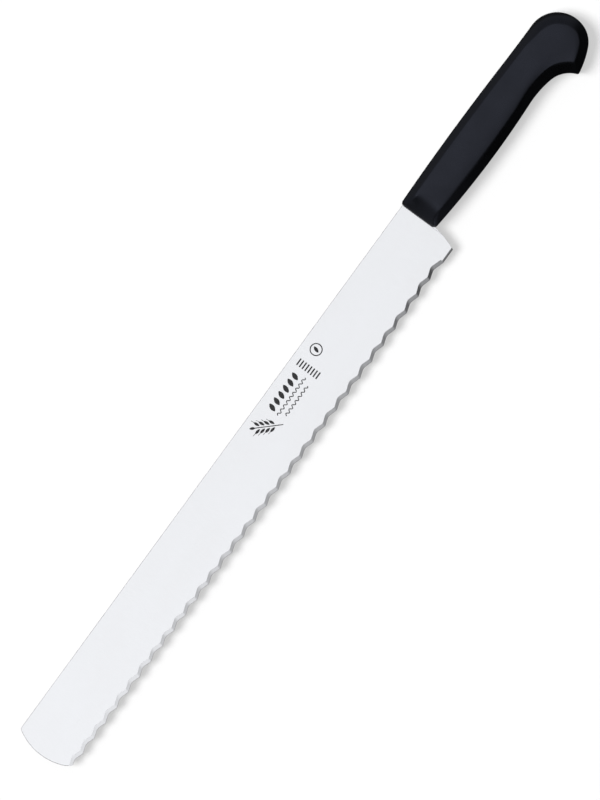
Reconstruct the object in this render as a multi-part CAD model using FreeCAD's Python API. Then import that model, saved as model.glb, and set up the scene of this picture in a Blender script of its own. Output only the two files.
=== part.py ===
import FreeCAD, Part
import math
import os

from FreeCAD import Vector

# Bakery knife: a long, wide stainless blade with a scalloped edge and a blunt round tip, and a
# plastic handle moulded round its tang. It is two pieces: the blade with its tang, stamped and
# ground from one sheet, and the handle, which fills the tang's holes and cannot come off.
#
# Everything is drawn in millimetres in a working frame: its origin is where the line of the
# spine meets the handle's front face, x runs to the tip, y from the spine to the cutting edge,
# and z up out of the ground side, from the blade's middle plane. The finished pieces are then
# moved, so that the origin is the centre of the footprint, at the height of the surface that
# the handle lies on.

# Blade
BLADE_LENGTH = 350.0        # handle's front face to the tip
BLADE_WIDTH = 35.7          # spine to the plain edge at the heel
SPINE_THICKNESS = 2.0
EDGE_THICKNESS = 0.9        # of the ground sheet at BLADE_WIDTH, before the edge is cut
EASING = 0.2                # radius along both corners of the spine and round the tip
TIP_RADIUS = 32.0
TIP_MIDDLE_Y = 17.3         # spine to the furthest point of the tip
TIP_SPINE_CORNER_RADIUS = 1.6
TIP_CORNER_START_Y = 29.8   # where the tip starts to turn in towards the edge
TIP_EDGE_END_X = 341.3
EDGE_BOW = 1.0              # how far the uncut edge bows out, halfway from the first scallop

# Heel
HEEL_CORNER_X = 3.0
HEEL_WAIST = Vector(0.9, 30.0, 0)
HEEL_TOP = Vector(-0.95, 21.2, 0)
HEEL_BEVEL = 1.1            # how far up the ground side the plain edge's bevel reaches

# Scalloped edge
FIRST_PITCH = 10.75         # between the two scallops next to the heel
LAST_PITCH = 10.1           # between the two next to the tip
SCALLOP_COUNT = 32          # the last is cut short by the tip
FIRST_SCALLOP_X = 18.0      # deepest point of the scallop next to the heel
SCALLOP_DEPTH = 1.5
HOLLOW_RADIUS = 4.0
TOOTH_RADIUS = 1.2
TOOTH_LINE = 35.35          # spine to the points of the teeth at the heel
TOOTH_LINE_RISE = 0.8       # how much less that is at the tip
TOOTH_BOW = 0.78            # how much more it is where the teeth stand proudest
TOOTH_BOW_START_X = 26.0
TOOTH_BOW_END_X = 280.0
TOOTH_BOW_SKEW = 0.65       # less than 1 puts the proudest teeth nearer to the heel
SCALLOP_BEVEL = 2.0         # how far up the ground side the scallops' bevel reaches
SCALLOP_SLANT = 0.5         # how far the hollows lean towards the handle, up the bevel

# Tang, hidden in the handle
SHOULDER_X = -2.6
SHOULDER_FOOT_Y = 18.0
TANG_START_TOP = 4.0
TANG_START_BOTTOM = 17.0
TANG_END_X = -94.0
TANG_END_TOP = 6.5
TANG_END_BOTTOM = 16.5
TANG_CORNER_RADIUS = 3.0
TANG_HOLE_RADIUS = 3.0
TANG_HOLE_X = (-20.0, -48.0, -76.0)

# Handle outline: each run of points is joined by arcs that meet tangent to tangent
LONGEST_ARC = 22.0          # a longer arc is drawn in several stretches, which mesh evenly
HANDLE_THICKNESS = 18.0
BACK_FRONT = Vector(0, -1.25, 0)
BACK_HEADING = 181.65       # degrees from +x, leaving BACK_FRONT
BACK_POINTS = (
    Vector(-90.0, -1.25, 0),    # end of the gently crowned back
    Vector(-118.4, -0.85, 0),   # start of the pommel
    Vector(-134.2, 21.8, 0),
    Vector(-126.1, 30.6, 0),
)
BELLY_FRONT = Vector(0, 21.3, 0)
BELLY_HEADING = 174.2
BELLY_POINTS = (
    Vector(-83.6, 23.1, 0),     # end of the belly's swell
    Vector(-100.5, 24.55, 0),   # start of the finger hook
)
HOOK_TIP = Vector(-111.8, 34.8, 0)
HANDLE_CHAMFER = 4.8        # along every rim, at 45 degrees
FRONT_CORNER_RADIUS = 2.4
HOOK_TIP_RADIUS = 0.9

REACH = 60.0                # further than any piece extends across the blade
CUTTER_HALF_HEIGHT = 3.0    # cutters pass through the sheet with room to spare


def line(start, end):
    return Part.LineSegment(start, end).toShape()


def face_of(edges):
    return Part.Face(Part.Wire(Part.sortEdges(edges)[0]))


def slab(face, thickness):
    """The outline as a plate of that thickness, centred on the blade's middle plane."""
    plate = face.extrude(Vector(0, 0, thickness))
    plate.translate(Vector(0, 0, -thickness / 2))
    return plate


def upright_edges(shape, x, y):
    """The edges parallel to z that stand over the point (x, y)."""
    return [
        edge
        for edge in shape.Edges
        if math.hypot(edge.CenterOfMass.x - x, edge.CenterOfMass.y - y) < 0.01
    ]


def tangent_arc(start, heading, end):
    """The arc that leaves start along heading and ends at end, and its heading there."""
    chord = end - start
    along = Vector(chord).normalize()
    turn = math.atan2(heading.x * along.y - heading.y * along.x, heading.dot(along))
    left = Vector(-along.y, along.x, 0)
    middle = (start + end) * 0.5 - left * (chord.Length / 2 * math.tan(turn / 2))
    cosine = math.cos(2 * turn)
    sine = math.sin(2 * turn)
    last = Vector(heading.x * cosine - heading.y * sine, heading.x * sine + heading.y * cosine, 0)
    return Part.Arc(start, middle, end).toShape(), last


# ---------------------------------------------------------------- blade


def half_thickness(y):
    """Half of the sheet's thickness at y: it is ground thinner from the spine to the edge."""
    return (SPINE_THICKNESS + (EDGE_THICKNESS - SPINE_THICKNESS) * y / BLADE_WIDTH) / 2


def ground_sheet():
    """The sheet ahead of the handle: a long wedge, thickest at the spine."""
    wide = BLADE_WIDTH + 1.0
    corners = [
        Vector(0, y, side * half_thickness(y))
        for y, side in ((0, -1), (wide, -1), (wide, 1), (0, 1))
    ]
    section = Part.Face(Part.makePolygon(corners + corners[:1]))
    return section.extrude(Vector(BLADE_LENGTH + 1.0, 0, 0))


def tip_x(y):
    """How far the tip's large arc reaches at y."""
    return BLADE_LENGTH - TIP_RADIUS + math.sqrt(TIP_RADIUS**2 - (y - TIP_MIDDLE_Y) ** 2)


def blade_outline():
    """The blade from the shoulder to the tip, with a plain edge line and no scallops yet."""
    spine_end = Vector(tip_x(0), 0, 0)
    corner_start = Vector(tip_x(TIP_CORNER_START_Y), TIP_CORNER_START_Y, 0)
    tip_centre = Vector(BLADE_LENGTH - TIP_RADIUS, TIP_MIDDLE_Y, 0)
    from_centre = (corner_start - tip_centre).normalize()
    edge_end = Vector(TIP_EDGE_END_X, BLADE_WIDTH, 0)
    corner = tangent_arc(corner_start, Vector(-from_centre.y, from_centre.x, 0), edge_end)[0]
    heel_corner = Vector(HEEL_CORNER_X, BLADE_WIDTH, 0)
    bow_start = Vector(FIRST_SCALLOP_X, BLADE_WIDTH, 0)
    bow_middle = (edge_end + bow_start) * 0.5 + Vector(0, EDGE_BOW, 0)
    shoulder_top = Vector(SHOULDER_X, 0, 0)
    shoulder_foot = Vector(SHOULDER_X, SHOULDER_FOOT_Y, 0)
    edges = [
        line(shoulder_top, spine_end),
        Part.Arc(spine_end, Vector(BLADE_LENGTH, TIP_MIDDLE_Y, 0), corner_start).toShape(),
        corner,
        Part.Arc(edge_end, bow_middle, bow_start).toShape(),
        line(bow_start, heel_corner),
        Part.Arc(heel_corner, HEEL_WAIST, HEEL_TOP).toShape(),
        line(HEEL_TOP, shoulder_foot),
        line(shoulder_foot, shoulder_top),
    ]
    plate = slab(face_of(edges), 2 * CUTTER_HALF_HEIGHT)
    return plate.makeFillet(TIP_SPINE_CORNER_RADIUS, upright_edges(plate, spine_end.x, 0))


def eased(sheet):
    """The sheet with both corners rounded over, along the spine and round the tip."""
    tip_start = BLADE_LENGTH - TIP_RADIUS
    rims = []
    for edge in sheet.Edges:
        across_sheet = edge.BoundBox.ZLength > EDGE_THICKNESS * 0.8
        on_spine = edge.CenterOfMass.y < 0.01
        if not across_sheet and (on_spine or edge.CenterOfMass.x > tip_start):
            rims.append(edge)
    return sheet.makeFillet(EASING, rims)


def tang():
    """The narrow strip that the handle is moulded on, with holes that the plastic fills."""
    overlap = 1.0
    corners = [
        Vector(SHOULDER_X + overlap, TANG_START_TOP, 0),
        Vector(TANG_END_X, TANG_END_TOP, 0),
        Vector(TANG_END_X, TANG_END_BOTTOM, 0),
        Vector(SHOULDER_X + overlap, TANG_START_BOTTOM, 0),
    ]
    strip = slab(Part.Face(Part.makePolygon(corners + corners[:1])), SPINE_THICKNESS)
    ends = upright_edges(strip, TANG_END_X, TANG_END_TOP)
    ends += upright_edges(strip, TANG_END_X, TANG_END_BOTTOM)
    strip = strip.makeFillet(TANG_CORNER_RADIUS, ends)
    hole_y = (TANG_START_TOP + TANG_START_BOTTOM + TANG_END_TOP + TANG_END_BOTTOM) / 4
    for x in TANG_HOLE_X:
        base = Vector(x, hole_y, -CUTTER_HALF_HEIGHT)
        strip = strip.cut(Part.makeCylinder(TANG_HOLE_RADIUS, 2 * CUTTER_HALF_HEIGHT, base))
    return strip


def scallop_x(index):
    """The deepest point of a scallop. Half a step further on is the tooth after it."""
    closing = (FIRST_PITCH - LAST_PITCH) / (SCALLOP_COUNT - 2)
    return FIRST_SCALLOP_X + index * FIRST_PITCH - index * (index - 1) / 2 * closing


def tooth_line(x):
    """Spine to the points of the teeth: bowed out a little, then rising towards the tip."""
    share = (x - TOOTH_BOW_START_X) / (TOOTH_BOW_END_X - TOOTH_BOW_START_X)
    share = min(max(share, 0.0), 1.0)
    bow = TOOTH_BOW * math.sin(math.pi * share**TOOTH_BOW_SKEW)
    return TOOTH_LINE + bow - TOOTH_LINE_RISE * (x / BLADE_LENGTH) ** 4


def hollow_centre(index):
    x = scallop_x(index)
    return Vector(x, tooth_line(x) - SCALLOP_DEPTH + HOLLOW_RADIUS, 0)


def tooth_centre(index):
    """The centre of the rounding on the tooth ahead of that scallop, on the heel's side."""
    x = scallop_x(index - 0.5)
    return Vector(x, tooth_line(x) - TOOTH_RADIUS, 0)


def flank(hollow, tooth):
    """The straight flank between two roundings, as the points where it touches each of them."""
    across = tooth - hollow
    swing = math.acos((HOLLOW_RADIUS + TOOTH_RADIUS) / across.Length)
    angle = math.atan2(across.y, across.x) - math.copysign(swing, across.x)
    normal = Vector(math.cos(angle), math.sin(angle), 0)
    return hollow + normal * HOLLOW_RADIUS, tooth - normal * TOOTH_RADIUS


def scallop_edges():
    """The wave along the edge line: a rounding in each hollow and on each tooth, and flanks."""
    hollow_start, tooth_end = flank(hollow_centre(0), tooth_centre(0))

    # The first flank runs straight on to the plain edge, and ends there at a square step.
    slope = (hollow_start.x - tooth_end.x) / (hollow_start.y - tooth_end.y)
    foot = Vector(tooth_end.x + slope * (BLADE_WIDTH - tooth_end.y), BLADE_WIDTH, 0)
    step = foot + Vector(0, 0.5, 0)
    edges = [line(step, foot), line(foot, hollow_start)]
    for index in range(SCALLOP_COUNT):
        deepest = hollow_centre(index) - Vector(0, HOLLOW_RADIUS, 0)
        point = tooth_centre(index + 1) + Vector(0, TOOTH_RADIUS, 0)
        hollow_end, tooth_start = flank(hollow_centre(index), tooth_centre(index + 1))
        next_hollow, tooth_end = flank(hollow_centre(index + 1), tooth_centre(index + 1))
        edges += [
            Part.Arc(hollow_start, deepest, hollow_end).toShape(),
            line(hollow_end, tooth_start),
            Part.Arc(tooth_start, point, tooth_end).toShape(),
            line(tooth_end, next_hollow),
        ]
        hollow_start = next_hollow
    return edges


def scallop_cutter():
    """The space that a profiled wheel grinds away: the wave, swept up the bevel's slope."""
    rise = half_thickness(TOOTH_LINE) + half_thickness(TOOTH_LINE - SCALLOP_BEVEL)
    sweep = Vector(-SCALLOP_SLANT / rise, -SCALLOP_BEVEL / rise, 1)
    wave = scallop_edges()
    first = wave[0].Vertexes[0].Point
    last = wave[-1].Vertexes[-1].Point
    far_first = Vector(first.x, REACH, 0)
    far_last = Vector(last.x, REACH, 0)
    outline = wave + [line(last, far_last), line(far_last, far_first), line(far_first, first)]
    face = face_of(outline)
    below = CUTTER_HALF_HEIGHT - half_thickness(TOOTH_LINE)
    face.translate(Vector(0, 0, -half_thickness(TOOTH_LINE)) - sweep * below)
    return face.extrude(sweep * (2 * CUTTER_HALF_HEIGHT))


def heel_bevel_cutter():
    """The wedge ground off the plain edge between the heel and the first scallop."""
    half = half_thickness(BLADE_WIDTH)
    slope = HEEL_BEVEL / (2 * half)
    over = 0.5
    corners = [
        Vector(0, BLADE_WIDTH + slope * over, -half - over),
        Vector(0, BLADE_WIDTH - HEEL_BEVEL - slope * over, half + over),
        Vector(0, BLADE_WIDTH + 2.0, half + over),
    ]
    section = Part.Face(Part.makePolygon(corners + corners[:1]))
    return section.extrude(Vector(FIRST_SCALLOP_X, 0, 0))


def blade():
    ahead = eased(ground_sheet().common(blade_outline()))
    inside_length = -SHOULDER_X
    shank = Part.makeBox(
        inside_length, REACH, SPINE_THICKNESS, Vector(SHOULDER_X, 0, -SPINE_THICKNESS / 2)
    ).common(blade_outline())
    sheet = ahead.fuse([shank, tang()]).removeSplitter()
    return sheet.cut([scallop_cutter(), heel_bevel_cutter()])


# ---------------------------------------------------------------- handle


def in_stretches(arc):
    """The same arc as equal shorter ones, end to end."""
    count = math.ceil(arc.Length / LONGEST_ARC)
    points = arc.discretize(2 * count + 1)
    return [Part.Arc(*points[2 * i : 2 * i + 3]).toShape() for i in range(count)]


def arc_run(start, heading_degrees, points):
    """Arcs through the points in turn, each tangent to the one before it."""
    angle = math.radians(heading_degrees)
    heading = Vector(math.cos(angle), math.sin(angle), 0)
    edges = []
    for point in points:
        arc, heading = tangent_arc(start, heading, point)
        edges += in_stretches(arc)
        start = point
    return edges


def handle_body():
    """The moulding before the tang's space is taken out of it."""
    outline = arc_run(BACK_FRONT, BACK_HEADING, BACK_POINTS + (HOOK_TIP,))
    outline += arc_run(BELLY_FRONT, BELLY_HEADING, BELLY_POINTS + (HOOK_TIP,))
    outline.append(line(BELLY_FRONT, BACK_FRONT))
    plate = slab(face_of(outline), HANDLE_THICKNESS)
    rims = [
        edge
        for edge in plate.Edges
        if abs(abs(edge.CenterOfMass.z) - HANDLE_THICKNESS / 2) < 0.01
    ]
    bevelled = plate.makeChamfer(HANDLE_CHAMFER, rims)

    # The three corners of the outline are small roundings, cut straight down through the rims.
    front_corners = upright_edges(plate, BACK_FRONT.x, BACK_FRONT.y)
    front_corners += upright_edges(plate, BELLY_FRONT.x, BELLY_FRONT.y)
    silhouette = plate.makeFillet(FRONT_CORNER_RADIUS, front_corners)
    hook = upright_edges(silhouette, HOOK_TIP.x, HOOK_TIP.y)
    return bevelled.common(silhouette.makeFillet(HOOK_TIP_RADIUS, hook))


def main():
    steel = blade()
    plastic = handle_body().cut(steel)
    box = Part.makeCompound([steel, plastic]).optimalBoundingBox()
    shift = Vector(-(box.XMin + box.XMax) / 2, -(box.YMin + box.YMax) / 2, -box.ZMin)
    os.makedirs("parts", exist_ok=True)
    for name, shape in (("blade", steel), ("handle", plastic)):
        shape.translate(shift)
        solids = shape.Solids
        kept = solids[0] if len(solids) == 1 else shape
        kept.exportStep(f"parts/{name}.step")
        print(f"{name}: {len(solids)} solid, {kept.Volume / 1000:.2f} cm3, valid {kept.isValid()}")
    print(f"working frame origin is at {shift.x:.3f}, {shift.y:.3f}, {shift.z:.3f}")


main()
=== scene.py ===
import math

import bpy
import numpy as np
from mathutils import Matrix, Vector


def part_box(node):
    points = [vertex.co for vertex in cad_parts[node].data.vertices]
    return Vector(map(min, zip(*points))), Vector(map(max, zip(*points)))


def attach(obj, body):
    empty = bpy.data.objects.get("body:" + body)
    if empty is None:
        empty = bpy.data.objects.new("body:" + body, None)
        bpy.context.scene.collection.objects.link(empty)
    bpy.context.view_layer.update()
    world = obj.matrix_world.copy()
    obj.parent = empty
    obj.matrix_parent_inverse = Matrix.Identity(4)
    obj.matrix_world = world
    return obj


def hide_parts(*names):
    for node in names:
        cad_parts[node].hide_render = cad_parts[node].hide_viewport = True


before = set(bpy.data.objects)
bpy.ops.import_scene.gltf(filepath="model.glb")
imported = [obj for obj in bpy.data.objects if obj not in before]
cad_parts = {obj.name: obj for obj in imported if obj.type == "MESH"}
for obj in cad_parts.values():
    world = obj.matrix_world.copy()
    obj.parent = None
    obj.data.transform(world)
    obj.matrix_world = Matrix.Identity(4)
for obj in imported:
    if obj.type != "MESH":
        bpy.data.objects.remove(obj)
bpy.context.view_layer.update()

# A bakery knife that lies on its side. The blade is the frame's own node with a ground-steel
# material. The handle is a finer moulding in place of its node. An etched mark lies on the blade.
#
# Sizes here are in millimetres in a working frame: its origin is where the line of the spine
# meets the handle's front face, x runs to the tip, y from the spine to the cutting edge, and z up
# from the blade's middle plane. to_row() places such a point in the frame.

MM = 0.001
BLADE_LOW, BLADE_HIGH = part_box("blade")
BLADE_LENGTH = 350.0
ORIGIN = (
    BLADE_HIGH.x - BLADE_LENGTH * MM,
    BLADE_LOW.y,
    (BLADE_LOW.z + BLADE_HIGH.z) / 2,
)

# ---------------------------------------------------------------- handle sizes

HALF_THICKNESS = 9.0
BACK_START = (0.0, -1.25)
BACK_HEADING = 181.65           # degrees from +x
BACK_POINTS = ((-90.0, -1.25), (-118.4, -0.85), (-134.2, 21.8), (-126.1, 30.6))
BELLY_START = (0.0, 21.3)
BELLY_HEADING = 174.2
BELLY_POINTS = ((-83.6, 23.1), (-100.5, 24.55))
HOOK_TIP = (-111.8, 34.8)
CHAIN_STEP = 0.25               # spacing of the points that stand for an outline's arcs

BACK_BORDER = 3.7               # silhouette to the edge of the flat, along the back
POMMEL_BORDER = 6.6             # the same, where the back turns into the pommel
UNDERSIDE_BORDER = 5.1          # the same, from the pommel's end to the hook
POMMEL_WIDENS = (104.0, 126.0)  # along the back from the front
POMMEL_NARROWS = (134.0, 154.0)
BELLY_BORDER = 4.7
HOOK_BORDER = 5.8               # the same, inside the hook
HOOK_WIDENS = (74.0, 100.0)     # along the belly from the front
FRONT_BORDER = 12.0             # halfway between the back and the belly
FRONT_BORDER_AT_CORNER = 5.6
FRONT_CORNER_OUTER = 2.4
FRONT_CORNER_INNER = 1.4
HOOK_CORNER_OUTER = 0.9
HOOK_CORNER_INNER = 1.0

PARTING_RIDGE = ((0.02, 0.0), (0.02, 0.08), (0.08, 0.18), (0.09, 0.5), (0.10, 1.0))  # inset, height
CROWN = 0.42                    # how much the flat is raised along its middle
WALL_TOP = 5.0                  # height at which the upright wall turns into the slope
WALL_TURN = 0.6                 # how much of the wall's top that turn takes
SLOPE_TURN = 0.14               # how much of the slope each of its two turns takes
SLOPE_TOP_SHARE = 0.94          # of the border, where the slope meets the flat's rim
SLOPE_TOP_DROP = 0.04           # below the flat's rim
WALL_STEPS = 5
TURN_STEPS = 6
SLOPE_STEPS = 8
ROUNDING_SWEEP = 83.0           # degrees, where the border is rounded instead of sloping

CORNER_STEPS = 8
FRONT_STEPS = 32
BELLY_STEPS = 104

# ---------------------------------------------------------------- small helpers


def to_row(points):
    """Working-frame millimetres to the frame's metres."""
    return np.asarray(points, float) * MM + np.array(ORIGIN)


def mesh_object(name, points, faces, smooth=True):
    mesh = bpy.data.meshes.new(name)
    mesh.from_pydata([tuple(p) for p in to_row(points)], [], faces)
    mesh.polygons.foreach_set("use_smooth", [smooth] * len(mesh.polygons))
    mesh.validate()
    piece = bpy.data.objects.new(name, mesh)
    bpy.context.scene.collection.objects.link(piece)
    return piece


class Nodes:
    """Short forms for building a node tree."""

    def __init__(self, tree):
        self.tree = tree

    def add(self, kind, inputs=(), **settings):
        node = self.tree.nodes.new(kind)
        for key, value in settings.items():
            setattr(node, key, value)
        for socket, value in dict(inputs).items():
            self.feed(node.inputs[socket], value)
        return node

    def feed(self, socket, value):
        if isinstance(value, bpy.types.NodeSocket):
            self.tree.links.new(value, socket)
        else:
            socket.default_value = value

    def math(self, operation, first, second=0.0, clamp=False):
        node = self.add("ShaderNodeMath", {0: first, 1: second}, operation=operation, use_clamp=clamp)
        return node.outputs[0]

    def spread(self, value, from_low, from_high, to_low, to_high, smooth=False):
        """value, carried from one range to another and held inside it."""
        numbers = {1: from_low, 2: from_high, 3: to_low, 4: to_high}
        kind = "SMOOTHSTEP" if smooth else "LINEAR"
        node = self.add("ShaderNodeMapRange", {0: value, **numbers}, interpolation_type=kind)
        return node.outputs[0]

    def blend(self, factor, first, second):
        """One colour turning into another."""
        node = self.add("ShaderNodeMix", {0: factor, 6: first, 7: second}, data_type="RGBA")
        return node.outputs[2]

    def along(self, vector, direction):
        """How far a vector points along a direction."""
        inputs = {0: vector, 1: tuple(direction)}
        return self.add("ShaderNodeVectorMath", inputs, operation="DOT_PRODUCT").outputs["Value"]

    def place(self, scale=(1.0, 1.0, 1.0)):
        """The surface's own position, stretched along each axis."""
        coords = self.add("ShaderNodeTexCoord").outputs["Object"]
        return self.add("ShaderNodeMapping", {"Vector": coords, "Scale": scale}).outputs[0]

    def noise(self, vector, scale, detail=3.0, roughness=0.5):
        inputs = {"Vector": vector, "Scale": scale, "Detail": detail, "Roughness": roughness}
        return self.add("ShaderNodeTexNoise", inputs).outputs[0]

    def bump(self, height, strength, distance, normal=None):
        inputs = {"Height": height, "Strength": strength, "Distance": distance}
        if normal is not None:
            inputs["Normal"] = normal
        return self.add("ShaderNodeBump", inputs).outputs[0]


class Finish(Nodes):
    """A material and its main shader."""

    def __init__(self, name):
        self.material = bpy.data.materials.new(name)
        self.material.use_nodes = True
        super().__init__(self.material.node_tree)
        self.shader = self.tree.nodes["Principled BSDF"]

    def set(self, **sockets):
        for key, value in sockets.items():
            self.feed(self.shader.inputs[key.replace("_", " ")], value)


# ---------------------------------------------------------------- materials


def steel():
    """Satin stainless with fine lines across the blade. The ground bevel is smoother."""
    n = Finish("blade_steel")
    facing = n.add("ShaderNodeNewGeometry").outputs["True Normal"]
    bevel = n.spread(n.along(facing, (0, 1, 0)), 0.15, 0.3, 0.0, 1.0)
    lines = n.noise(n.place((9000.0, 260.0, 260.0)), 1.0, 4.0, 0.65)
    patches = n.noise(n.place((18.0, 60.0, 60.0)), 1.0, 2.0)
    scratches = n.noise(n.place((90.0, 5200.0, 5200.0)), 1.0, 2.0, 0.7)
    fine = n.spread(lines, 0.3, 0.7, 0.235, 0.27)
    worn = n.spread(patches, 0.3, 0.7, -0.006, 0.008)
    scratched = n.spread(scratches, 0.66, 0.8, 0.0, 0.04)
    rough = n.math("ADD", n.math("ADD", fine, worn), scratched)
    rough = n.math("SUBTRACT", rough, n.math("MULTIPLY", bevel, 0.10))
    duller = (0.785, 0.797, 0.825, 1)
    brighter = (0.80, 0.81, 0.835, 1)
    colour = n.blend(n.spread(patches, 0.3, 0.7, 0.0, 1.0), duller, brighter)
    rounded = n.add("ShaderNodeBevel", {"Radius": 0.00016}, samples=6).outputs[0]
    relief = n.bump(lines, 0.06, 0.00002, rounded)
    relief = n.bump(scratches, 0.04, 0.00002, relief)
    n.set(Base_Color=colour, Metallic=1.0, Roughness=rough, Normal=relief)
    return n.material


def plastic():
    """Black moulded plastic, satin, with a fine grain and a faint unevenness."""
    n = Finish("handle_plastic")
    grain = n.noise(n.place(), 2600.0, 3.0, 0.6)
    swell = n.noise(n.place(), 60.0, 2.0)
    fine = n.spread(grain, 0.3, 0.7, 0.26, 0.33)
    rough = n.math("ADD", fine, n.spread(swell, 0.3, 0.7, -0.03, 0.04))
    relief = n.bump(grain, 0.2, 0.00003)
    relief = n.bump(swell, 0.08, 0.0003, relief)
    darker = (0.0010, 0.0011, 0.0013, 1)
    lighter = (0.0014, 0.0015, 0.0017, 1)
    colour = n.blend(n.spread(swell, 0.3, 0.7, 0.0, 1.0), darker, lighter)
    n.set(Base_Color=colour, Roughness=rough, Normal=relief)
    n.shader.inputs["Specular IOR Level"].default_value = 0.39
    n.shader.inputs["Specular Tint"].default_value = (0.69, 0.75, 1.0, 1)
    return n.material


def ink():
    """Dark etched mark, slightly uneven in tone."""
    n = Finish("mark_ink")
    tone = n.spread(n.noise(n.place(), 1800.0, 2.0), 0.35, 0.7, 0.0, 1.0)
    colour = n.blend(tone, (0.012, 0.012, 0.013, 1), (0.03, 0.03, 0.032, 1))
    relief = n.bump(tone, 0.1, 0.00001)
    n.set(Base_Color=colour, Roughness=n.spread(tone, 0.0, 1.0, 0.5, 0.65), Normal=relief)
    n.shader.inputs["Specular IOR Level"].default_value = 0.3
    return n.material


# ---------------------------------------------------------------- handle


def tangent_arc(start, heading, end):
    """Points along the arc that leaves start at that heading and ends at end, and its last heading."""
    chord = np.subtract(end, start)
    length = math.hypot(*chord)
    turn = math.atan2(chord[1], chord[0]) - heading
    turn = math.atan2(math.sin(turn), math.cos(turn))
    radius = length / 2 / math.sin(turn)
    count = math.ceil(length / CHAIN_STEP)
    angle = heading + 2 * turn * np.linspace(0, 1, count + 1)
    x = start[0] + radius * (np.sin(angle) - math.sin(heading))
    y = start[1] - radius * (np.cos(angle) - math.cos(heading))
    return np.column_stack([x, y]), angle


class Chain:
    """One side of an outline: closely spaced points, each with its inward normal."""

    def __init__(self, points, inward, border, soft):
        self.points = points
        self.inward = inward
        self.border = border
        self.soft = soft

    def moved_in(self, shares, extra):
        """The side moved inward by a share of its border plus extra millimetres.

        shares holds the share where the border is a slope, and where it is rounded (soft is 1).
        """
        crisp, rounded = shares
        share = crisp + (rounded - crisp) * self.soft
        return self.points + self.inward * (self.border * share + extra)[:, None]


def arc_chain(start, heading_degrees, ends, inward_side, border, soft):
    """A side made of arcs that meet tangent to tangent; border and soft depend on distance."""
    heading = math.radians(heading_degrees)
    points, angles = [np.array([start])], [np.array([heading])]
    for end in ends:
        arc, angle = tangent_arc(start, heading, end)
        points.append(arc[1:])
        angles.append(angle[1:])
        start, heading = end, angle[-1]
    points = np.vstack(points)
    angles = np.concatenate(angles) + inward_side * math.pi / 2
    inward = np.column_stack([np.cos(angles), np.sin(angles)])
    steps = np.hypot(*np.diff(points, axis=0).T)
    distance = np.concatenate([[0], np.cumsum(steps)])
    return Chain(points, inward, border(distance), soft(distance))


def smooth_step(value):
    value = np.clip(value, 0, 1)
    return value * value * (3 - 2 * value)


def change(distance, stretch, first, last):
    """A border that changes from first to last over a stretch of the side."""
    start, end = stretch
    return first + (last - first) * smooth_step((distance - start) / (end - start))


def back_border(distance):
    widening = change(distance, POMMEL_WIDENS, 0.0, POMMEL_BORDER - BACK_BORDER)
    narrowing = change(distance, POMMEL_NARROWS, 0.0, UNDERSIDE_BORDER - POMMEL_BORDER)
    return BACK_BORDER + widening + narrowing


def back_softness(distance):
    """The border slopes all along the back, but it is rounded where it is wide."""
    return change(distance, POMMEL_WIDENS, 0.0, 1.0) - change(distance, POMMEL_NARROWS, 0.0, 1.0)


def belly_border(distance):
    return change(distance, HOOK_WIDENS, BELLY_BORDER, HOOK_BORDER)


def handle_sides():
    back_ends = BACK_POINTS + (HOOK_TIP,)
    belly_ends = BELLY_POINTS + (HOOK_TIP,)
    back = arc_chain(BACK_START, BACK_HEADING, back_ends, -1, back_border, back_softness)
    belly = arc_chain(BELLY_START, BELLY_HEADING, belly_ends, 1, belly_border, np.zeros_like)
    y = np.arange(BACK_START[1], BELLY_START[1], CHAIN_STEP)
    front_points = np.column_stack([np.zeros(len(y)), y])
    inward = np.tile([-1.0, 0.0], (len(y), 1))
    bow = 1 - np.linspace(-1, 1, len(y)) ** 2
    border = FRONT_BORDER_AT_CORNER + (FRONT_BORDER - FRONT_BORDER_AT_CORNER) * bow
    front = Chain(front_points, inward, border, np.ones(len(y)))
    return back, front, belly


def crossing(first, second):
    """Where two lines of points cross: the position along each, counted in points."""
    a, da = first[:-1], np.diff(first, axis=0)
    b, db = second[:-1], np.diff(second, axis=0)
    gap = b[None] - a[:, None]
    cross = da[:, None, 0] * db[None, :, 1] - da[:, None, 1] * db[None, :, 0]
    cross = np.where(np.abs(cross) < 1e-12, 1e-12, cross)
    s = (gap[..., 0] * db[None, :, 1] - gap[..., 1] * db[None, :, 0]) / cross
    t = (gap[..., 0] * da[:, None, 1] - gap[..., 1] * da[:, None, 0]) / cross
    hit = np.argwhere((s >= 0) & (s <= 1) & (t >= 0) & (t <= 1))
    i, j = hit[0]
    return i + s[i, j], j + t[i, j]


def at(values, position):
    """The values at positions between the points of a line."""
    index = np.arange(len(values))
    return np.column_stack([np.interp(position, index, values[:, k]) for k in (0, 1)])


def corner_arc(centre, radius, before, after):
    """The rounding at a corner, between the outward normals before and after it."""
    start = math.atan2(-before[1], -before[0])
    turn = math.atan2(-after[1], -after[0]) - start
    turn = math.atan2(math.sin(turn), math.cos(turn))
    angle = start + turn * np.linspace(0, 1, CORNER_STEPS + 1)
    return centre + radius * np.column_stack([np.cos(angle), np.sin(angle)])


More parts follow.
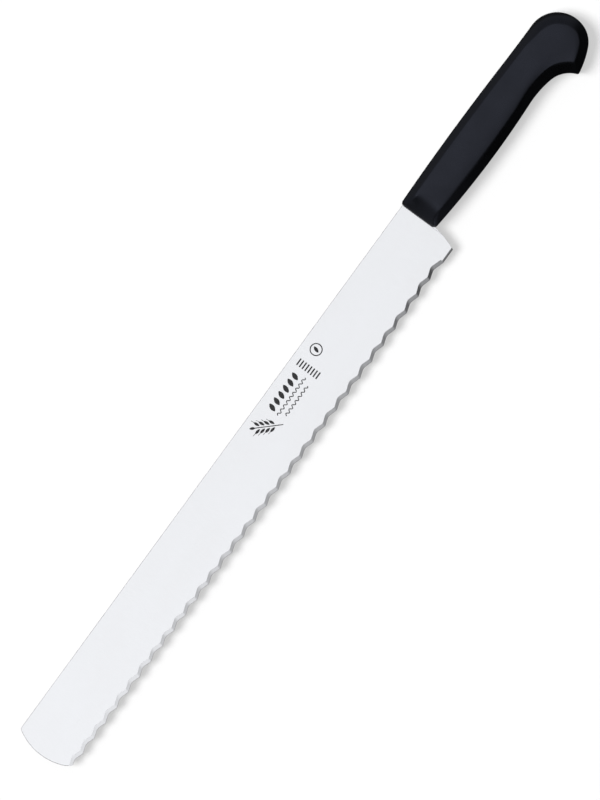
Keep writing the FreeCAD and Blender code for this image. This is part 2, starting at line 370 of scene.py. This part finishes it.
def handle_loop(sides, shares, inset):
    """The closed outline, moved in by those shares of its borders plus inset, as a list of points.

    It starts in the middle of the corner between back and front and runs along the front.
    """
    back, front, belly = sides
    front_radius = FRONT_CORNER_OUTER + (FRONT_CORNER_INNER - FRONT_CORNER_OUTER) * shares[0]
    hook_radius = HOOK_CORNER_OUTER + (HOOK_CORNER_INNER - HOOK_CORNER_OUTER) * shares[0]

    def corner(first, second, radius):
        a = first.moved_in(shares, inset + radius)
        b = second.moved_in(shares, inset + radius)
        i, j = crossing(a, b)
        arc = corner_arc(at(a, [i])[0], radius, at(first.inward, [i])[0], at(second.inward, [j])[0])
        return arc, i, j

    arc_front_back, back_start, front_start = corner(back, front, front_radius)
    arc_front_belly, front_end, belly_start = corner(front, belly, front_radius)
    arc_hook, belly_end, back_end = corner(belly, back, hook_radius)

    def side(chain, start, end, steps):
        positions = np.linspace(start, end, steps + 1)[1:-1]
        return at(chain.moved_in(shares, inset), positions)

    back_steps = BELLY_STEPS + FRONT_STEPS + CORNER_STEPS
    loop = np.vstack([
        arc_front_back,
        side(front, front_start, front_end, FRONT_STEPS),
        arc_front_belly,
        side(belly, belly_start, belly_end, BELLY_STEPS),
        arc_hook,
        side(back, back_end, back_start, back_steps),
    ])
    return np.roll(loop, -(CORNER_STEPS // 2), axis=0)


def turn(start, corner, end):
    """Points on a smooth turn from start to end, which cuts the corner between them."""
    share = np.linspace(0, 1, TURN_STEPS + 1)[:, None]
    return (1 - share) ** 2 * start + 2 * share * (1 - share) * corner + share**2 * end


def slope_profile(wall_foot):
    """(share of the border, height) up an upright wall, a slope and on to the flat's rim."""
    flat = HALF_THICKNESS - CROWN
    corner = np.array([0.0, WALL_TOP])
    brow = np.array([SLOPE_TOP_SHARE, flat - SLOPE_TOP_DROP])
    low = corner + SLOPE_TURN * (brow - corner)
    high = brow - SLOPE_TURN * (brow - corner)
    wall_end = np.array([0.0, WALL_TOP - WALL_TURN])
    return np.vstack([
        np.linspace([0.0, wall_foot], wall_end, WALL_STEPS + 1)[1:-1],
        turn(wall_end, corner, low),
        np.linspace(low, high, SLOPE_STEPS + 1)[1:-1],
        turn(high, brow, np.array([1.0, flat])),
    ])


def rounding_profile():
    """(shares of the border, inset, height) of each ring, from the parting line to the flat."""
    rings = [((0.0, 0.0), inset, height) for inset, height in PARTING_RIDGE]
    wall_inset, wall_foot = PARTING_RIDGE[-1]
    flat = HALF_THICKNESS - CROWN
    sweep = math.radians(ROUNDING_SWEEP)
    for crisp, height in slope_profile(wall_foot):
        angle = math.asin(math.sin(sweep) * (height - wall_foot) / (flat - wall_foot))
        rounded = (1 - math.cos(angle)) / (1 - math.cos(sweep))
        rings.append(((crisp, rounded), wall_inset * (1 - crisp), height))
    return rings


def flat_grid(loop):
    """Points across the flat inside a loop, as a grid between its four sides, and its crown."""
    across = FRONT_STEPS + CORNER_STEPS
    along = BELLY_STEPS + CORNER_STEPS
    front = loop[: across + 1]
    belly = loop[across : across + along + 1]
    end = loop[across + along : 2 * across + along + 1][::-1]
    back = np.vstack([loop[2 * across + along :], loop[:1]])[::-1]
    u = np.linspace(0, 1, along + 1)[:, None, None]
    v = np.linspace(0, 1, across + 1)[None, :, None]
    sides = (1 - v) * back[:, None] + v * belly[:, None] + (1 - u) * front[None] + u * end[None]
    corners = (
        (1 - u) * (1 - v) * front[0] + (1 - u) * v * front[-1]
        + u * (1 - v) * end[0] + u * v * end[-1]
    )
    crown = (1 - (2 * v - 1) ** 2) * (1 - np.abs(2 * u - 1) ** 5)
    return sides - corners, crown[..., 0]


def handle_mesh():
    rings = rounding_profile()
    sides = handle_sides()
    loops = [handle_loop(sides, shares, inset) for shares, inset, _ in rings]
    count = len(loops[0])
    points, faces = [], []

    def ring_start(level):
        """Index of the first point of the ring at that level, negative below the parting line."""
        return (level if level >= 0 else len(rings) - 1 - level) * count

    for level in list(range(len(rings))) + [-k for k in range(1, len(rings))]:
        loop = loops[abs(level)]
        height = math.copysign(rings[abs(level)][2], level)
        points.append(np.column_stack([loop, np.full(count, height)]))
    for level in range(1 - len(rings), len(rings) - 1):
        low, high = ring_start(level), ring_start(level + 1)
        for i in range(count):
            j = (i + 1) % count
            faces.append((low + i, low + j, high + j, high + i))

    grid, crown = flat_grid(loops[-1])
    along, across = grid.shape[0] - 1, grid.shape[1] - 1
    for side in (1, -1):
        rim = ring_start(side * (len(rings) - 1))
        first = sum(len(block) for block in points)
        inner = grid[1:-1, 1:-1].reshape(-1, 2)
        height = HALF_THICKNESS - CROWN + CROWN * crown[1:-1, 1:-1].reshape(-1)
        points.append(np.column_stack([inner, side * height]))

        def index(i, j):
            if j == across and i > 0:
                return rim + across + i
            if i == along:
                return rim + across + along + (across - j)
            if j == 0 and i > 0:
                return rim + 2 * across + along + (along - i)
            if i == 0:
                return rim + j
            return first + (i - 1) * (across - 1) + (j - 1)

        for i in range(along):
            for j in range(across):
                face = (index(i, j), index(i, j + 1), index(i + 1, j + 1), index(i + 1, j))
                faces.append(face if side > 0 else face[::-1])
    return np.vstack(points), faces


def build_handle():
    points, faces = handle_mesh()
    piece = mesh_object("moulded_handle", points, faces)
    piece.data.materials.append(plastic())
    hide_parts("handle")
    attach(piece, "root")


# ---------------------------------------------------------------- mark

MARK_TOP = 0.02                 # above the blade's ground side
MARK_FOOT = -0.01
SIDE_AT_SPINE = 1.0             # height of the ground side above the middle plane
SIDE_SLOPE = 0.0154             # how much it falls for each millimetre from the spine
LEAF_STEPS = 12


class Mark:
    """Thin shapes on the blade's ground side, gathered as one mesh."""

    def __init__(self):
        self.points = []
        self.faces = []

    def stroke(self, line, width, closed=False):
        """A stroke along a line of points; width is one number, or one for each point."""
        line = np.asarray(line, float)
        count = len(line)
        if closed:
            heading = np.roll(line, -1, axis=0) - np.roll(line, 1, axis=0)
        else:
            heading = np.gradient(line, axis=0)
        heading /= np.linalg.norm(heading, axis=1)[:, None]
        left = np.column_stack([-heading[:, 1], heading[:, 0]])
        left = left * (np.broadcast_to(width, count) / 2)[:, None]
        first = len(self.points)
        for side, lift in ((1, MARK_TOP), (-1, MARK_TOP), (-1, MARK_FOOT), (1, MARK_FOOT)):
            rim = line + side * left
            height = SIDE_AT_SPINE - SIDE_SLOPE * rim[:, 1] + lift
            self.points += [(x, y, z) for (x, y), z in zip(rim, height)]

        def corner(number, place):
            return first + (number % 4) * count + place % count

        for i in range(count if closed else count - 1):
            for c in range(4):
                near = (corner(c, i), corner(c + 1, i))
                far = (corner(c + 1, i + 1), corner(c, i + 1))
                self.faces.append(near + far)
        if not closed:
            self.faces.append(tuple(corner(c, 0) for c in (3, 2, 1, 0)))
            self.faces.append(tuple(corner(c, count - 1) for c in (0, 1, 2, 3)))

    def bar(self, start, end, width):
        self.stroke(np.linspace(start, end, 3), width)

    def leaf(self, centre, heading_degrees, length, width):
        """A grain, pointed at both ends."""
        share = np.linspace(0.02, 0.98, LEAF_STEPS + 1)
        heading = math.radians(heading_degrees)
        along = np.array([math.cos(heading), math.sin(heading)])
        line = np.array(centre) + (share - 0.5)[:, None] * length * along
        self.stroke(line, width * np.sin(math.pi * share) ** 0.8)


def mark_ear(mark):
    """An ear of wheat, leaning towards the tip."""
    foot = np.array([131.6, 17.6])
    top = np.array([142.2, 6.4])
    axis = (top - foot) / np.linalg.norm(top - foot)
    heading = math.degrees(math.atan2(axis[1], axis[0]))
    across = np.array([-axis[1], axis[0]])
    mark.bar(foot, top, 0.5)
    mark.leaf(top + axis * 1.2, heading, 3.4, 1.5)
    for pair in range(4):
        middle = foot + axis * (6.0 + 2.7 * pair)
        for side in (-1, 1):
            lean = heading + side * 38
            out = np.array([math.cos(math.radians(lean)), math.sin(math.radians(lean))])
            grain = middle + across * side * 2.0
            mark.leaf(grain, lean, 3.8, 1.5)
            mark.bar(grain + out * 1.7, grain + out * 3.4, 0.25)


def mark_grains(mark):
    """A row of six plump grains."""
    for k in range(6):
        mark.leaf((107.2 + 4.1 * k, 7.5), 70, 5.2, 2.6)


def mark_waves(mark):
    """Two fine wavy lines under the grains."""
    for y, start, end in ((12.3, 104.6, 129.4), (15.9, 107.4, 127.0)):
        x = np.linspace(start, end, 240)
        mark.stroke(np.column_stack([x, y + 0.65 * np.sin((x - start) * 2 * math.pi / 2.75)]), 0.5)


def mark_scale(mark):
    """A column of short bars, like the rungs of a ladder without its rails."""
    for k in range(8):
        y = 4.6 + 1.8 * k
        mark.bar((97.6, y), (101.8, y), 0.8)


def mark_ring(mark):
    """A plain ring round one grain."""
    centre = np.array([89.0, 8.2])
    angle = np.linspace(0, 2 * math.pi, 40, endpoint=False)
    mark.stroke(centre + 3.2 * np.column_stack([np.cos(angle), np.sin(angle)]), 0.6, closed=True)
    mark.leaf(centre, 70, 4.2, 1.9)


def build_mark():
    mark = Mark()
    for part in (mark_ear, mark_grains, mark_waves, mark_scale, mark_ring):
        part(mark)
    piece = mesh_object("etched_mark", mark.points, mark.faces, smooth=False)
    piece.data.materials.append(ink())
    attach(piece, "root")


# ---------------------------------------------------------------- studio

FLOOR_RADIUS = 14.0
WALL_HEIGHT = 6.0
LIGHT_SIDE = Vector((0.70, -0.71, 0.0))     # level direction that the light comes from
SUN_TILT = 28.6                             # degrees from straight overhead
SUN_STRENGTH = 4.55
SUN_WIDTH = 26.0                            # degrees across, which sets how soft the shadows are
BOX_LEAN = 0.12                             # of the overhead box, towards LIGHT_SIDE
BOX_STRENGTH = 1.32
SIDE_STRENGTH = 0.40
SKY_FLOOR = 0.006                           # the least light that comes from anywhere
FLOOR_COLOUR = 0.3
FLOOR_GLOW = 0.545
WALL_COLOUR = 0.2
WALL_GLOW = 0.95
CARD_X = (-200.0, 460.0)                    # working frame
CARD_Y = 150.0
CARD_TOP = 300.0
CARD_TONES = (                              # working-frame x, brightness
    (-40.0, 0.005), (0.0, 0.14), (40.0, 0.30), (90.0, 0.36), (130.0, 0.44), (170.0, 0.50),
    (210.0, 0.64), (245.0, 0.70), (280.0, 0.88), (340.0, 0.95),
)
FLAG_X = -45.0
FLAG_Y = (42.0, 148.0)
FLAG_TOP = 90.0


def studio_material(name, colour, glow):
    n = Finish(name)
    tone = n.noise(n.place(), 3.0, 2.0)
    n.set(Base_Color=(colour, colour, colour, 1), Roughness=n.spread(tone, 0.3, 0.7, 0.85, 0.95))
    n.shader.inputs["Specular IOR Level"].default_value = 0.1
    n.shader.inputs["Emission Color"].default_value = (1, 1, 1, 1)
    n.shader.inputs["Emission Strength"].default_value = glow
    return n.material


def stage_piece(name, points, faces, material):
    mesh = bpy.data.meshes.new(name)
    mesh.from_pydata([tuple(p) for p in points], [], faces)
    mesh.materials.append(material)
    piece = bpy.data.objects.new(name, mesh)
    bpy.context.scene.collection.objects.link(piece)
    return piece


def build_floor():
    steps = 96
    angle = np.linspace(0, 2 * math.pi, steps, endpoint=False)
    rim = np.column_stack([np.cos(angle), np.sin(angle), np.zeros(steps)]) * FLOOR_RADIUS
    white = studio_material("floor_white", FLOOR_COLOUR, FLOOR_GLOW)
    floor = stage_piece("floor", rim, [tuple(range(steps))], white)
    floor.visible_glossy = False

    around = [(i, i + steps, (i + 1) % steps + steps, (i + 1) % steps) for i in range(steps)]
    raised = np.vstack([rim, rim + [0, 0, WALL_HEIGHT]])
    white = studio_material("backdrop_white", WALL_COLOUR, WALL_GLOW)
    wall = stage_piece("backdrop", raised, around, white)
    wall.visible_glossy = False
    wall.visible_diffuse = False
    wall.visible_shadow = False


def card_material():
    """A glowing card: dark beside the handle, brighter in steps towards the tip."""
    n = Finish("card_glow")
    place = n.add("ShaderNodeSeparateXYZ", {0: n.place()}).outputs["X"]
    level = CARD_TONES[0][1]
    for (x0, low), (x1, high) in zip(CARD_TONES, CARD_TONES[1:]):
        start = to_row([x0, 0, 0])[0]
        end = to_row([x1, 0, 0])[0]
        level = n.math("ADD", level, n.spread(place, start, end, 0.0, high - low))
    n.set(Base_Color=(0, 0, 0, 1), Emission_Color=(1, 1, 1, 1), Emission_Strength=level)
    return n.material


def reflection_piece(name, corners, material):
    """An upright sheet that only shows as a reflection."""
    piece = stage_piece(name, to_row(corners), [(0, 1, 2, 3)], material)
    piece.visible_camera = False
    piece.visible_diffuse = False
    piece.visible_shadow = False
    piece.visible_transmission = False


def build_card():
    """The card stands beyond the edge, where the bevels reflect it."""
    left, right = CARD_X
    corners = [(left, CARD_Y, 0), (right, CARD_Y, 0), (right, CARD_Y, CARD_TOP), (left, CARD_Y, CARD_TOP)]
    reflection_piece("reflector_card", corners, card_material())


def build_flag():
    """A black flag hides the card's bright end from the inside of the handle's hook."""
    near, far = FLAG_Y
    corners = [(FLAG_X, near, 0), (FLAG_X, far, 0), (FLAG_X, far, FLAG_TOP), (FLAG_X, near, FLAG_TOP)]
    reflection_piece("black_flag", corners, studio_material("flag_black", 0.0, 0.0))


def build_world():
    """A soft box almost overhead, a dimmer side towards the light, and a faint horizon."""
    world = bpy.data.worlds.new("soft_sky")
    bpy.context.scene.world = world
    world.use_nodes = True
    n = Nodes(world.node_tree)
    toward = n.add("ShaderNodeTexCoord").outputs["Generated"]
    box_axis = (LIGHT_SIDE * BOX_LEAN + Vector((0, 0, 1))).normalized()
    box = n.spread(n.along(toward, box_axis), 0.92, 0.985, 0.0, BOX_STRENGTH, smooth=True)
    side = n.spread(n.along(toward, (0, -1, 0)), -0.28, 0.1, 0.0, SIDE_STRENGTH, smooth=True)
    height = n.along(toward, (0, 0, 1))
    above = n.spread(height, -0.5, 0.1, 0.12, 1.0, smooth=True)
    horizon = n.spread(n.math("ABSOLUTE", height), 0.05, 0.4, 0.05, 0.0, smooth=True)
    level = n.math("MAXIMUM", n.math("MULTIPLY", side, above), horizon)
    level = n.math("ADD", n.math("MAXIMUM", level, box), SKY_FLOOR)
    background = n.tree.nodes["Background"]
    n.feed(background.inputs["Color"], (1, 1, 1, 1))
    n.feed(background.inputs["Strength"], level)


def build_lights():
    key = bpy.data.lights.new("key", "SUN")
    key.energy = SUN_STRENGTH
    key.angle = math.radians(SUN_WIDTH)
    lamp = bpy.data.objects.new("key", key)
    bpy.context.scene.collection.objects.link(lamp)
    lamp.visible_glossy = False
    tilt = math.radians(SUN_TILT)
    toward = LIGHT_SIDE * math.sin(tilt) + Vector((0, 0, math.cos(tilt)))
    lamp.rotation_euler = toward.to_track_quat("Z", "Y").to_euler()


# ---------------------------------------------------------------- camera

VIEW_CENTRE = (115.79, 17.09)   # working-frame point under the middle of the picture
VIEW_HEIGHT = 426.2             # millimetres across the picture's long side, at the blade
VIEW_ROLL = 126.11              # degrees from +X to the picture's right
LENS = 500.0
SENSOR = 36.0


def build_camera():
    camera = bpy.data.cameras.new("camera")
    camera.lens = LENS
    camera.sensor_width = SENSOR
    camera.clip_end = 100.0
    holder = bpy.data.objects.new("camera", camera)
    bpy.context.scene.collection.objects.link(holder)
    x, y, z = to_row([VIEW_CENTRE[0], VIEW_CENTRE[1], 0.7])
    distance = VIEW_HEIGHT * MM * LENS / SENSOR
    holder.location = (x, y, z + distance)
    holder.rotation_euler = (0, 0, math.radians(VIEW_ROLL))
    bpy.context.scene.camera = holder


def build_blade():
    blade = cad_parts["blade"]
    blade.data.materials.clear()
    blade.data.materials.append(steel())


build_blade()
build_handle()
build_mark()
build_floor()
build_card()
build_flag()
build_world()
build_lights()
build_camera()
bpy.context.scene.view_settings.view_transform = "Standard"
